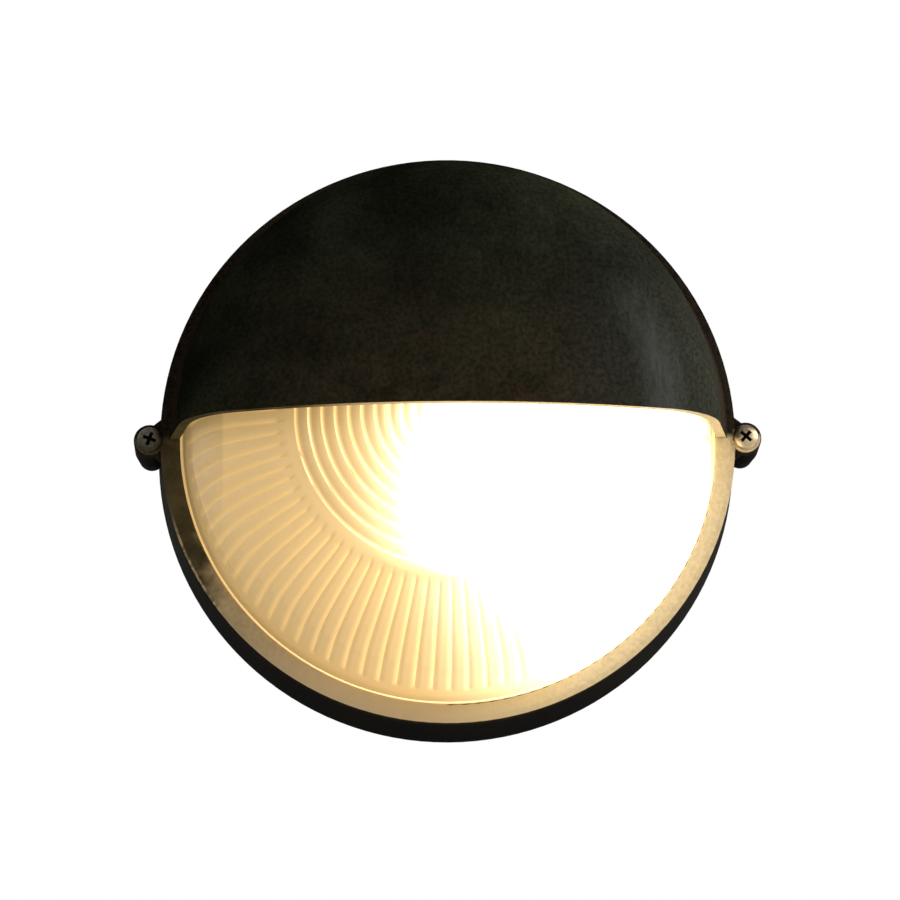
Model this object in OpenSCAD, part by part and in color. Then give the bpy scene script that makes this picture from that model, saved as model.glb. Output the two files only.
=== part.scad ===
// Round cast bulkhead wall light with a half hood over a pressed ribbed glass.
// Each piece is drawn with z out from the wall and y up. on_wall() then turns it
// so that up is +Z, the wall lies at +Y and the origin is the middle of the back.

/* [Housing] */
// Outer diameter of the front frame
body_d = 236; // [232:1:240]
// Depth of the base dish, from the wall to its front edge
base_depth = 36; // [33:1:38]
// Wall thickness of the base dish
base_t = 2.8; // [2.5:0.1:3.2]
// Thickness of the back of the base dish
back_t = 3.2; // [3:0.1:4]
// How much wider the base is at the wall than at its front edge, on the radius
base_flare = 2; // [1:0.1:2.4]

/* [Front frame] */
// Depth of the frame flange, from the base to its front face
flange_h = 7; // [6.5:0.5:8]
// Radius of the opening that the glass stands out of
opening_r = 110; // [109.5:0.1:110.2]
// Radius of the hood where it leaves the flange
hood_foot_r = 114.3; // [114:0.1:114.8]
// How far the crown of the hood stands in front of the flange
hood_rise = 73; // [62:1:82]
// Draft of the hood's side wall, in degrees
hood_draft = 8.7; // [6:0.1:11]
// Radius of the hood's rounded shoulder
hood_corner_r = 35; // [28:1:40]
// Radius of the hood's shallow crown
hood_crown_r = 251; // [225:1:300]
// Wall thickness of the hood
hood_t = 4; // [3.5:0.1:4.5]

/* [Cover screws] */
// Distance of each cover screw from the middle
ear_x = 122.3; // [122:0.1:124]
// Radius of the round ears
ear_r = 6.6; // [6:0.1:7.5]
// Radius of the pan heads
cover_head_r = 5.15; // [4.8:0.05:5.4]

/* [Glass] */
// Thickness of the glass
glass_t = 4; // [3.5:0.1:4.5]
// Gap between the hood and the side of the glass
glass_side_gap = 1.2; // [1:0.1:2]
// Gap between the hood and the crown of the glass
glass_crown_gap = 6.5; // [3:0.1:7]
// Number of ribs round the glass
rib_count = 90; // [60:6:96]
// Height of the ribs and rings on the inside of the glass
rib_h = 1.3; // [0.8:0.1:1.6]
// Radius at which the ribs start
rib_start_r = 70; // [66:1:74]
// Radius of the outermost of the concentric rings
ring_zone_r = 61.5; // [58:0.5:63]
// Number of concentric rings in the middle of the glass
ring_count = 11; // [6:1:11]

/* [Lamp] */
// Height of the bulb's axis above the wall
lamp_z = 54; // [53:0.5:58]
// Radius of the bulb's globe
globe_r = 30; // [28:0.5:31]
// Place of the globe's middle along the lamp's width
globe_x = 30; // [26:1:34]

/* [Hidden] */
$fn = 144;

body_r = body_d / 2;
front_z = base_depth + flange_h;

// Joint between the base and the frame
seal_t = 0.8;
base_front_r = body_r - 0.3;
base_back_r = base_front_r + base_flare;
base_inner_r = base_front_r - base_t;
base_floor_r = base_inner_r - 0.3;
spigot_r = base_inner_r - 0.3;
spigot_t = 2.1;
spigot_inner_r = spigot_r - spigot_t;
spigot_z = base_depth - 5;

// Stack behind the frame's lip: gasket, glass rim, wire ring
lip_t = 3.4;
lip_z = front_z - lip_t;
glass_gasket_t = 1.4;
rim_top_z = lip_z - glass_gasket_t;
rim_r = spigot_inner_r - 0.5;
rim_z = rim_top_z - glass_t;
wire_r = 1.2;
wire_z = rim_z - wire_r;

// Glass dome, set in from the hood
glass_inset = hood_t + glass_side_gap;
glass_foot_r = hood_foot_r - glass_inset / cos(hood_draft);
glass_rise = hood_rise - hood_t - glass_crown_gap;
glass_crown_r = hood_crown_r - hood_t - glass_crown_gap;
glass_corner_r = hood_corner_r - glass_inset;
rim_bead_h = 9;

// Cover screws and ears
ear_top_z = front_z - 0.4;
cover_shank_r = 2.5;
thread_gap = 0.05;
cover_thread_z = 16;

// Reflector and the pillars that carry it
reflector_z = 19.5;
reflector_t = 1;
reflector_flat_r = 96;
reflector_r = 107;
reflector_lip_z = 27.5;
reflector_top = reflector_z + reflector_t;
pillar_r = 4.6;
bracket_pillars = [[-83, -10], [-83, 10]];
reflector_pillar = [86, 0];
small_shank_r = 2;
small_head_r = 4;
lead_hole_r = 3;

// Lampholder and bracket, along the x axis at lamp_z
bracket_t = 1.5;
bracket_w = 32;
bracket_x = -69.5;
bracket_foot_x = -92;
holder_x = bracket_x + bracket_t;
holder_len = 48;
holder_r = 21;
shell_x = holder_x + 18;
cap_r = 13;
shell_r = cap_r + 0.3;
shell_t = 0.9;
holder_screw_z = 11;
clamp_y = 13.5;
clamp_x = holder_x + 3;
clamp_size = [7, 6, 8];
clamp_z = lamp_z - clamp_size.z / 2;

// Terminal block on its pad, and the leads from it to the clamps
block_x = -8;
block_slab_t = 2.4;
block_pad_z = back_t + 3.5;
pole_pitch = clamp_y;
pole = [17, 9, 10];
tube_r = 2;
block_screw_r = 1.25;
core_r = 0.8;
lead_r = 1.2;
lead_bend = 6;
lead_z = block_pad_z + 4.5;

// Openings in the back
wall_screw_y = 75;
wall_screw_r = 2.75;
pad_t = 2;
entry = [45, 40];
entry_r = 10;
entry_recess = 2;
entry_wall = 3;
grommet_r = 13;
grommet_bore_r = 5;
grommet_lip = 1.7;
earth = [25, -34];
earth_boss_z = 9;

// Turns a piece from z out of the wall to y out of the wall
module on_wall() { rotate([90, 0, 0]) children(); }

// Puts a piece that was drawn about z on the lamp's axis, running towards +x
module on_lamp_axis(x) { translate([x, 0, lamp_z]) rotate([0, 90, 0]) children(); }

// Corner pieces for rounding a section: taken off an outer corner, added in an inner one
module corner_piece(p, dir, r) {
    translate(p) difference() {
        translate([min(0, dir.x * r), min(0, dir.y * r)]) square(r);
        translate([dir.x * r, dir.y * r]) circle(r);
    }
}

// Middle of the shoulder circle that touches both the drafted wall and the crown
function shoulder(foot_r, rise, crown_r, corner_r) =
    let (n = [cos(hood_draft), sin(hood_draft)],
         t = [-sin(hood_draft), cos(hood_draft)],
         k = foot_r * cos(hood_draft) - corner_r,
         h0 = rise - crown_r,
         m = crown_r - corner_r,
         s = h0 * cos(hood_draft) + sqrt(m * m - pow(k - h0 * sin(hood_draft), 2)))
    k * n + s * t;

// Half section of a dome: a drafted wall, a round shoulder and a shallow crown
module dome_area(foot_r, rise, crown_r, corner_r) {
    overlap = 3;
    n = [cos(hood_draft), sin(hood_draft)];
    crown_mid = [0, rise - crown_r];
    c = shoulder(foot_r, rise, crown_r, corner_r);
    u = (c - crown_mid) / norm(c - crown_mid);
    wall_top = c + corner_r * n;
    crown_end = crown_mid + crown_r * u;
    polygon([[0, 0], [foot_r, 0], wall_top, c, crown_end, [0, crown_end.y]]);
    intersection() {
        translate(c) circle(corner_r);
        translate([c.x - 2 * overlap, c.y - overlap]) square(2 * corner_r);
    }
    intersection() {
        translate(crown_mid) circle(crown_r);
        translate([0, crown_end.y - overlap]) square([crown_end.x, rise]);
    }
}

module hood_area(inset) {
    dome_area(hood_foot_r - inset / cos(hood_draft), hood_rise - inset, hood_crown_r - inset,
        hood_corner_r - inset);
}

// Section of the glass dome, set in further by inset, with its wall carried down behind the lip
module glass_area(inset) {
    foot_r = glass_foot_r - inset / cos(hood_draft);
    foot_h = front_z - rim_z;
    dome_area(foot_r, glass_rise - inset, glass_crown_r - inset, glass_corner_r - inset);
    polygon([[0, 0], [0, -foot_h], [foot_r + foot_h * tan(hood_draft), -foot_h], [foot_r, 0]]);
}

// Pan-head screw with a cross recess, its head on z = 0 and its shank below
module pan_screw(head_r, head_h, shank_r, shank_len, turn = 0) {
    slot_w = head_r * 0.27;
    slot_l = head_r * 1.1;
    difference() {
        union() {
            rotate_extrude() difference() {
                square([head_r, head_h]);
                corner_piece([head_r, head_h], [-1, -1], head_h * 0.6);
            }
            translate([0, 0, -shank_len]) cylinder(h = shank_len + 0.1, r = shank_r);
        }
        rotate(turn) for (a = [0, 90])
            rotate(a) translate([-slot_l / 2, -slot_w / 2, head_h * 0.45]) cube([slot_l, slot_w, head_h]);
    }
}

// Base dish

// Section of the dish: flared side, rounded back edge, filleted floor
module base_section() {
    back_edge_r = 2.5;
    floor_fillet_r = 6;
    difference() {
        polygon([[0, 0], [base_back_r, 0], [base_front_r, base_depth], [0, base_depth]]);
        corner_piece([base_back_r, 0], [-1, 1], back_edge_r);
        difference() {
            polygon([[-1, back_t], [base_floor_r, back_t], [base_inner_r, base_depth], [base_inner_r, 50],
                [-1, 50]]);
            corner_piece([base_floor_r + 0.3, back_t], [-1, 1], floor_fillet_r);
        }
    }
}

// Boss outside the dish that takes a cover screw, with draft towards the wall
module ear_boss() {
    foot_z = 1.5;
    foot_h = 4;
    draft_h = 16;
    foot_r = ear_r - 2.6;
    draft_r = ear_r - 1.2;
    translate([ear_x, 0, foot_z]) rotate_extrude() polygon([
        [0, 0], [foot_r, 0], [draft_r, foot_h], [ear_r, foot_h + draft_h],
        [ear_r, base_depth + seal_t - foot_z], [0, base_depth + seal_t - foot_z]]);
    web_t = 2 * foot_r - 1;
    translate([base_front_r - 1.5, -web_t / 2, foot_z])
        cube([ear_x - base_front_r, web_t, base_depth - foot_z]);
}

module pillar(p) {
    rib_t = 2.6;
    translate([p.x, p.y, back_t - 0.5]) cylinder(h = reflector_z - back_t + 0.5, r = pillar_r);
    side = p.x < 0 ? -1 : 1;
    translate([min(p.x, side * base_floor_r), p.y - rib_t / 2, back_t - 0.5])
        cube([base_floor_r - abs(p.x), rib_t, reflector_z - back_t - 3]);
}

module base_housing() {
    color([0.07, 0.07, 0.065]) difference() {
        union() {
            rotate_extrude() base_section();
            for (side = [0, 180]) rotate(side) ear_boss();
            for (p = concat(bracket_pillars, [reflector_pillar])) pillar(p);
            for (s = [-1, 1])
                translate([0, s * wall_screw_y, back_t - 0.5]) cylinder(h = pad_t + 0.5, r = 8);
            translate([entry.x, entry.y, back_t - 0.5])
                cylinder(h = entry_recess + entry_wall - back_t + 0.5, r = grommet_r + 3.5);
            translate([earth.x, earth.y, back_t - 0.5]) cylinder(h = earth_boss_z - back_t + 0.5, r = 5.5);
            translate([block_x, 0, (back_t + block_pad_z) / 2])
                cube([pole.x, 20, block_pad_z - back_t], center = true);
        }
        translate([0, 0, base_depth]) cylinder(h = 5, r = base_front_r);
        for (s = [-1, 1]) {
            translate([s * ear_x, 0, cover_thread_z])
                cylinder(h = base_depth, r = cover_shank_r + thread_gap);
            translate([0, s * wall_screw_y, -1]) cylinder(h = back_t + pad_t + 2, r = wall_screw_r);
        }
        for (p = concat(bracket_pillars, [reflector_pillar]))
            translate([p.x, p.y, reflector_z - 12]) cylinder(h = 20, r = small_shank_r + thread_gap);
        translate([entry.x, entry.y, -1]) cylinder(h = 20, r = entry_r);
        translate([entry.x, entry.y, -1]) cylinder(h = entry_recess + 1, r = grommet_r + 0.4);
        translate([earth.x, earth.y, 2.5]) cylinder(h = 20, r = small_shank_r + thread_gap);
        translate([block_x, pole_pitch / 2, back_t - 0.2]) cylinder(h = 20, r = block_screw_r + thread_gap);
    }
}

module housing_gasket() {
    color([0.1, 0.1, 0.1]) translate([0, 0, base_depth]) rotate_extrude()
        translate([base_inner_r + 0.1, 0]) square([base_t - 0.6, seal_t]);
}

// Front frame: ring, half hood and ears in one casting

// Section of the ring: flange, lip over the glass and spigot into the base
module ring_section() {
    flange_back_z = base_depth + seal_t;
    slope = 0.5;
    difference() {
        union() {
            translate([opening_r, lip_z]) square([body_r - opening_r, lip_t]);
            translate([spigot_inner_r, flange_back_z]) square([body_r - spigot_inner_r, 3]);
            translate([spigot_inner_r, spigot_z]) square([spigot_t, lip_z - spigot_z]);
        }
        polygon([[hood_foot_r + 1.5, front_z], [body_r + 1, front_z + 0.1], [body_r + 1, front_z - slope]]);
        corner_piece([body_r, front_z - slope], [-1, -1], 2);
        corner_piece([opening_r, front_z], [1, -1], 0.8);
        translate([rim_r, wire_z]) circle(wire_r + 0.05);
    }
}

module hood_section() {
    root_r = 1.6;
    difference() {
        union() {
            hood_area(0);
            translate([0, -2]) square([hood_foot_r, 2.1]);
            corner_piece([hood_foot_r - 0.3, -0.05], [1, 1], root_r);
        }
        hood_area(hood_t);
        translate([-1, -3]) square([hood_foot_r - hood_t / cos(hood_draft) + 1, 3.1]);
    }
}

// Round ear with a rounded front edge and a short web to the ring
module ear() {
    ear_z = base_depth + seal_t;
    ear_h = ear_top_z - ear_z;
    translate([ear_x, 0, ear_z]) rotate_extrude() difference() {
        square([ear_r, ear_h]);
        corner_piece([ear_r, ear_h], [-1, -1], 1.4);
    }
    translate([0, 0, ear_z]) linear_extrude(height = ear_h - 1.2)
        polygon([[body_r - 2.5, -10.5], [ear_x - 1.5, -ear_r + 0.3], [ear_x - 1.5, ear_r - 0.3],
            [body_r - 2.5, 10.5]]);
}

module front_frame() {
    color([0.16, 0.16, 0.14]) difference() {
        union() {
            rotate_extrude() ring_section();
            translate([0, 0, front_z]) rotate_extrude(angle = 180) hood_section();
            for (side = [0, 180]) rotate(side) ear();
        }
        for (s = [-1, 1]) {
            translate([s * ear_x, 0, base_depth]) cylinder(h = 20, r = cover_shank_r + 0.25);
            translate([s * ear_x, 0, ear_top_z]) cylinder(h = 20, r = cover_head_r + 0.25);
        }
    }
}

module cover_screw(side, turn) {
    color([0.62, 0.62, 0.6]) translate([side * ear_x, 0, ear_top_z])
        pan_screw(cover_head_r, 3.2, cover_shank_r, ear_top_z - cover_thread_z - 2, turn);
}

// Glass: a smooth outside, with rings and ribs pressed into the inside

// Beads along the inside of the crown that become the concentric rings
module ring_beads() {
    ring_pitch = ring_zone_r / (ring_count + 0.6);
    path_r = glass_crown_r - glass_t;
    bead_r = 1.7;
    for (i = [1:ring_count]) {
        a = asin((ring_zone_r - (ring_count - i) * ring_pitch) / path_r);
        translate([0, glass_rise - glass_crown_r]) rotate(-a) translate([0, path_r + bead_r - rib_h])
            circle(bead_r);
    }
}

module glass_section() {
    foot_h = front_z - rim_z;
    difference() {
        union() {
            glass_area(0);
            translate([0, -foot_h]) square([rim_r, glass_t]);
        }
        difference() {
            glass_area(glass_t);
            ring_beads();
        }
    }
}

// One rib in plan: a narrow wedge
module rib_plan() {
    w = tan(360 / rib_count / 4.4);
    polygon([[rib_start_r, -rib_start_r * w], [body_r, -body_r * w], [body_r, body_r * w],
        [rib_start_r, rib_start_r * w]]);
}

module glass_ribs() {
    intersection() {
        rotate_extrude() difference() {
            glass_area(glass_t - 0.3);
            glass_area(glass_t + rib_h);
            translate([-1, -hood_rise]) square([body_r + 20, rim_bead_h + hood_rise]);
            translate([-1, -1]) square([rib_start_r - 3, 2 * hood_rise]);
        }
        linear_extrude(height = hood_rise) for (i = [0:rib_count - 1])
            rotate((i + 0.5) * 360 / rib_count) rib_plan();
    }
}

module glass_lens() {
    color([1, 0.93, 0.78, 0.6]) translate([0, 0, front_z]) {
        rotate_extrude() glass_section();
        glass_ribs();
    }
}

module glass_gasket() {
    color([0.12, 0.12, 0.12]) translate([0, 0, rim_top_z]) rotate_extrude()
        translate([opening_r, 0]) square([spigot_inner_r - opening_r - 0.1, glass_gasket_t]);
}

// Split spring wire that snaps into the spigot and holds the glass in the frame
module glass_ring() {
    gap_angle = 14;
    color([0.7, 0.7, 0.7]) translate([0, 0, wire_z]) rotate(-90 + gap_angle / 2)
        rotate_extrude(angle = 360 - gap_angle) translate([rim_r, 0]) circle(wire_r);
}

// Reflector: a spun pan with a turned-up edge, on three pillars
module reflector() {
    edge_r = 1;
    color([0.93, 0.93, 0.9]) difference() {
        union() {
            rotate_extrude() polygon([
                [0, reflector_z], [reflector_flat_r, reflector_z], [reflector_r, reflector_lip_z],
                [reflector_r - reflector_t, reflector_lip_z + 0.4], [reflector_flat_r - 0.4, reflector_top],
                [0, reflector_top]]);
            rotate_extrude() translate([reflector_r - 0.5, reflector_lip_z]) circle(edge_r);
        }
        for (p = concat(bracket_pillars, [reflector_pillar]))
            translate([p.x, p.y, 0]) cylinder(h = 40, r = small_shank_r + 0.3);
        for (s = [-1, 1]) translate([clamp_x + clamp_size.x / 2, s * clamp_y, 0])
            cylinder(h = 40, r = lead_hole_r);
    }
}

module reflector_screw() {
    color([0.7, 0.7, 0.68]) translate([reflector_pillar.x, reflector_pillar.y, reflector_top])
        pan_screw(small_head_r, 2.4, small_shank_r, 10, 30);
}

// Bracket: bent strip, its foot on the reflector and its upright behind the lampholder
module lampholder_bracket() {
    bend_r = 3;
    foot_len = bracket_x - bracket_foot_x;
    color([0.72, 0.73, 0.74]) difference() {
        union() {
            translate([0, bracket_w / 2, 0]) rotate([90, 0, 0]) linear_extrude(height = bracket_w)
                difference() {
                    translate([bracket_foot_x, reflector_top])
                        square([foot_len + bracket_t, lamp_z - reflector_top]);
                    difference() {
                        translate([bracket_foot_x - 1, reflector_top + bracket_t])
                            square([foot_len + 1, lamp_z]);
                        corner_piece([bracket_x, reflector_top + bracket_t], [-1, 1], bend_r - bracket_t);
                    }
                    corner_piece([holder_x, reflector_top], [-1, 1], bend_r);
                }
            on_lamp_axis(bracket_x) cylinder(h = bracket_t, r = bracket_w / 2);
        }
        for (p = bracket_pillars) translate([p.x, p.y, 0]) cylinder(h = 30, r = small_shank_r + 0.25);
        for (s = [-1, 1]) translate([0, 0, s * holder_screw_z]) on_lamp_axis(bracket_x - 1)
            cylinder(h = bracket_t + 2, r = small_shank_r + 0.25);
    }
}

module bracket_screws() {
    color([0.7, 0.7, 0.68]) for (p = bracket_pillars)
        translate([p.x, p.y, reflector_top + bracket_t])
            pan_screw(small_head_r, 2.4, small_shank_r, 11, p.y * 4);
}

// Lampholder: porcelain body, screw shell, centre contact and two wire clamps

module lampholder_body() {
    collar_r = holder_r + 1;
    bore_r = shell_r + shell_t + 0.1;
    color([0.95, 0.94, 0.9]) difference() {
        on_lamp_axis(holder_x) rotate_extrude() difference() {
            union() {
                square([holder_r, 14]);
                square([holder_r - 2, holder_len]);
                translate([0, holder_len - 16]) square([collar_r, 16]);
            }
            corner_piece([collar_r, holder_len], [-1, -1], 3);
            corner_piece([collar_r, holder_len - 16], [-1, 1], 2);
            corner_piece([holder_r, 14], [-1, -1], 2);
            translate([-1, shell_x - holder_x - 2]) square([bore_r + 1, holder_len]);
        }
        for (s = [-1, 1]) {
            translate([0, 0, s * holder_screw_z]) on_lamp_axis(holder_x - 1)
                cylinder(h = 9.5, r = small_shank_r + thread_gap);
            translate([clamp_x, s * (clamp_y - clamp_size.y / 2) - (s < 0 ? holder_r : 0), clamp_z - holder_r])
                cube([clamp_size.x, holder_r, 3 * holder_r]);
        }
    }
}

module lampholder_shell() {
    groove_r = 1.1;
    thread_pitch = 3.6;
    color([0.85, 0.7, 0.35]) on_lamp_axis(shell_x - 2) rotate_extrude() difference() {
        square([shell_r + shell_t, 27]);
        translate([-1, -1]) square([shell_r + 1, 30]);
        for (i = [1:6]) translate([shell_r + shell_t + groove_r * 0.65, i * thread_pitch]) circle(groove_r);
    }
}

// Springy strip at the bottom of the shell, bent up in the middle to meet the bulb
module lampholder_contact() {
    strip_w = 6;
    color([0.85, 0.7, 0.35]) translate([shell_x, 0, lamp_z]) {
        translate([-2, -strip_w / 2, -9]) cube([0.6, strip_w, 18]);
        translate([-1.5, 0, 0]) rotate([0, 90, 0]) cylinder(h = 1.5, r1 = 3, r2 = 2);
    }
}

module holder_screws() {
    color([0.7, 0.7, 0.68]) for (s = [-1, 1])
        translate([bracket_x, 0, lamp_z + s * holder_screw_z]) rotate([0, -90, 0])
            pan_screw(3.6, 2.2, small_shank_r, 8, s * 25);
}

// Brass block in a slot of the porcelain that clamps one lead's end
module wire_clamp(s) {
    color([0.85, 0.7, 0.35]) difference() {
        translate([clamp_x, s * clamp_y - clamp_size.y / 2, clamp_z]) cube(clamp_size);
        translate([clamp_x + clamp_size.x / 2, s * clamp_y, clamp_z + clamp_size.z - 3])
            cylinder(h = 5, r = 1.5 + thread_gap);
    }
}

module clamp_screws() {
    color([0.85, 0.72, 0.4]) for (s = [-1, 1])
        translate([clamp_x + clamp_size.x / 2, s * clamp_y, clamp_z + clamp_size.z])
            pan_screw(2.6, 1.8, 1.5, 2.5, 40);
}

// Half section between the neck and the globe: a cone that touches the globe
module bulb_shoulder(neck_h, neck_r, globe_h) {
    reach = norm([neck_r, globe_h - neck_h]);
    lean = asin(globe_r / reach) - atan2(neck_r, globe_h - neck_h);
    touch = [neck_r, neck_h] + sqrt(reach * reach - globe_r * globe_r) * [sin(lean), cos(lean)];
    polygon([[0, neck_h - 0.1], [neck_r, neck_h - 0.1], [neck_r, neck_h], touch, [0, globe_h]]);
}

// Bulb: globe, shoulder, neck and ribbed screw cap, sealed in one
module bulb() {
    foot_len = 2.5;
    cap_len = 24;
    thread_pitch = 3.6;
    thread_r = 1.1;
    globe_h = globe_x - shell_x;
    neck_h = foot_len + cap_len + 3;
    neck_r = cap_r + 1;
    color([1, 0.96, 0.88]) on_lamp_axis(shell_x) rotate_extrude() {
        square([5, foot_len + 0.1]);
        translate([0, foot_len]) difference() {
            square([cap_r, cap_len]);
            for (i = [1:5]) translate([cap_r + thread_r * 0.5, i * thread_pitch]) circle(thread_r);
            corner_piece([cap_r, 0], [-1, 1], 2);
        }
        translate([0, foot_len + cap_len - 0.1]) square([neck_r, 3.1]);
        bulb_shoulder(neck_h, neck_r, globe_h);
        intersection() {
            translate([0, globe_h]) circle(globe_r);
            square([globe_r + 1, globe_h + globe_r + 1]);
        }
    }
}

// Terminal block: moulded strip with three poles, on a pad of the base

// Runs a hole or a bar along x through each pole, at the height of the leads
module along_poles(from_x, to_x, r) {
    for (i = [-1:1]) translate([block_x + from_x, i * pole_pitch, lead_z]) rotate([0, 90, 0])
        cylinder(h = to_x - from_x, r = r);
}

// Stands a hole or a bar on each of the six clamping points of the strip
module on_clamping_points(from_z, to_z, r) {
    for (i = [-1:1]) for (s = [-1, 1])
        translate([block_x + s * 4.5, i * pole_pitch, lead_z + from_z]) cylinder(h = to_z - from_z, r = r);
}

module terminal_block() {
    strip_w = 2 * pole_pitch + pole.y;
    color([0.9, 0.9, 0.86]) difference() {
        union() {
            translate([block_x - pole.x / 2, -strip_w / 2, block_pad_z]) cube([pole.x, strip_w, block_slab_t]);
            for (i = [-1:1]) translate([block_x - pole.x / 2, i * pole_pitch - pole.y / 2, block_pad_z])
                cube(pole);
        }
        along_poles(-pole.x, pole.x, tube_r);
        on_clamping_points(0, 10, 1.9);
        translate([block_x, pole_pitch / 2, block_pad_z - 1]) cylinder(h = 20, r = block_screw_r + 0.1);
    }
}

module terminal_tubes() {
    color([0.85, 0.7, 0.35]) difference() {
        along_poles(-7, 7, tube_r);
        along_poles(-8, 8, lead_r);
        on_clamping_points(0, 3, 1.4 + thread_gap);
    }
}

module terminal_screws() {
    color([0.75, 0.75, 0.72]) difference() {
        on_clamping_points(core_r, 5, 1.4);
        for (i = [-1:1]) translate([block_x - 8, i * pole_pitch - 0.25, lead_z + 4.2]) cube([16, 0.5, 2]);
    }
}

module block_screw() {
    color([0.7, 0.7, 0.68]) translate([block_x, pole_pitch / 2, block_pad_z + block_slab_t])
        pan_screw(2.2, 1.6, block_screw_r, 5.5, 20);
}

// Insulated lead: out of a pole, along behind the reflector and up to the clamp
module lead(s, shade) {
    run_x = block_x - 7;
    rise_x = clamp_x + clamp_size.x / 2;
    y = s * pole_pitch;
    color(shade) {
        translate([run_x, y, lead_z]) rotate([0, 90, 0]) cylinder(h = 5, r = core_r);
        translate([rise_x + lead_bend, y, lead_z]) rotate([0, 90, 0])
            cylinder(h = run_x - rise_x - lead_bend, r = lead_r);
        translate([rise_x + lead_bend, y, lead_z + lead_bend]) rotate([90, 0, 0]) rotate(180)
            rotate_extrude(angle = 90) translate([lead_bend, 0]) circle(lead_r);
        translate([rise_x, y, lead_z + lead_bend]) cylinder(h = clamp_z - lead_z - lead_bend, r = lead_r);
    }
}

// Earth point on the base, with its washer
module earth_screw() {
    color([0.85, 0.72, 0.4]) translate([earth.x, earth.y, earth_boss_z + 1])
        pan_screw(small_head_r, 2.4, small_shank_r, 7, 15);
}

module earth_washer() {
    color([0.8, 0.68, 0.38]) translate([earth.x, earth.y, earth_boss_z]) difference() {
        cylinder(h = 1, r = 5);
        translate([0, 0, -1]) cylinder(h = 3, r = small_shank_r + 0.15);
    }
}

// Rubber grommet in the cable entry, level with the back of the base
module cable_grommet() {
    back_z = entry_recess - grommet_lip;
    color([0.08, 0.08, 0.08]) translate([entry.x, entry.y, back_z]) rotate_extrude() difference() {
        union() {
            square([grommet_r, grommet_lip]);
            square([entry_r, 2 * grommet_lip + entry_wall]);
            translate([0, grommet_lip + entry_wall]) square([grommet_r, grommet_lip]);
        }
        translate([-1, -1]) square([grommet_bore_r + 1, 12]);
    }
}

on_wall() base_housing();
on_wall() housing_gasket();
on_wall() front_frame();
on_wall() glass_lens();
on_wall() glass_gasket();
on_wall() glass_ring();
on_wall() reflector();
on_wall() reflector_screw();
on_wall() lampholder_bracket();
on_wall() bracket_screws();
on_wall() lampholder_body();
on_wall() lampholder_shell();
on_wall() lampholder_contact();
on_wall() holder_screws();
on_wall() clamp_screws();
on_wall() bulb();
on_wall() terminal_block();
on_wall() terminal_tubes();
on_wall() terminal_screws();
on_wall() block_screw();
on_wall() earth_screw();
on_wall() earth_washer();
on_wall() cable_grommet();
on_wall() cover_screw(-1, 18);  // cover_screw_left
on_wall() cover_screw(1, -10);  // cover_screw_right
on_wall() wire_clamp(1);  // live_clamp
on_wall() wire_clamp(-1);  // neutral_clamp
on_wall() lead(1, [0.4, 0.22, 0.1]);  // live_lead
on_wall() lead(-1, [0.15, 0.3, 0.6]);  // neutral_lead
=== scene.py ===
import math

import bpy
from mathutils import Matrix, Vector


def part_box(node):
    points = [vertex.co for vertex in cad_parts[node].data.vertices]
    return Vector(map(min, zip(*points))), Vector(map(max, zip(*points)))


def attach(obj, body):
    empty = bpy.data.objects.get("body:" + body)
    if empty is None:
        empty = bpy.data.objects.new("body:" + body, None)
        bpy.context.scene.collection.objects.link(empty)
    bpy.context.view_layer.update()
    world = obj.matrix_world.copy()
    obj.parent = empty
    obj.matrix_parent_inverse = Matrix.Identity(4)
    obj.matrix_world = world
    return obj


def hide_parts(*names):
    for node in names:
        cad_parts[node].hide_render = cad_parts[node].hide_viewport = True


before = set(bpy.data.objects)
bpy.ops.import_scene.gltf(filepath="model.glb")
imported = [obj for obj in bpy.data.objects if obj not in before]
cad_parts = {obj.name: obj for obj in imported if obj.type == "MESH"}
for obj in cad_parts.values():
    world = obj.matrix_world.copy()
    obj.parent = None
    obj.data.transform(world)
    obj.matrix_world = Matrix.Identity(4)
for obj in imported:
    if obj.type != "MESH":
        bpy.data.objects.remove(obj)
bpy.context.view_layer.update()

# Camera, a little below the light and looking up at it, tipped by half a degree
# as the light hangs in the picture.
view_from_below = math.radians(11.737)
view_from_left = math.radians(1.259)
view_tip = math.radians(0.5)
view_distance = 2.5
aim = Vector((0.00053, -0.055, -0.00725))
towards_eye = Vector((
    -math.sin(view_from_left) * math.cos(view_from_below),
    -math.cos(view_from_left) * math.cos(view_from_below),
    -math.sin(view_from_below),
))
camera_data = bpy.data.cameras.new("camera")
camera_data.sensor_width = 36
camera_data.lens = 245.01
camera = bpy.data.objects.new("camera", camera_data)
bpy.context.scene.collection.objects.link(camera)
camera.rotation_mode = "QUATERNION"
camera.location = aim + towards_eye * view_distance
level = (-towards_eye).to_track_quat("-Z", "Y")
camera.rotation_quaternion = level @ Matrix.Rotation(-view_tip, 4, "Z").to_quaternion()
bpy.context.scene.camera = camera
bpy.context.scene.view_settings.view_transform = "Standard"

# Studio: a pale floor well below the light, a surround that is white to look at and dim
# to light by, two soft lamps on the right, one of them beside the wall, and a weak one
# on the left.
bpy.ops.object.select_all(action="DESELECT")
floor_height = -0.62
floor_colour = (0.86, 0.86, 0.85, 1)
bpy.ops.mesh.primitive_plane_add(size=14, location=(0, 0, floor_height))
floor = bpy.context.object
floor.name = "studio_floor"
floor_paint = bpy.data.materials.new("studio_floor")
floor_paint.use_nodes = True
floor_shader = floor_paint.node_tree.nodes["Principled BSDF"]
floor_shader.inputs["Base Color"].default_value = floor_colour
floor_shader.inputs["Roughness"].default_value = 0.9
floor.data.materials.append(floor_paint)

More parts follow.
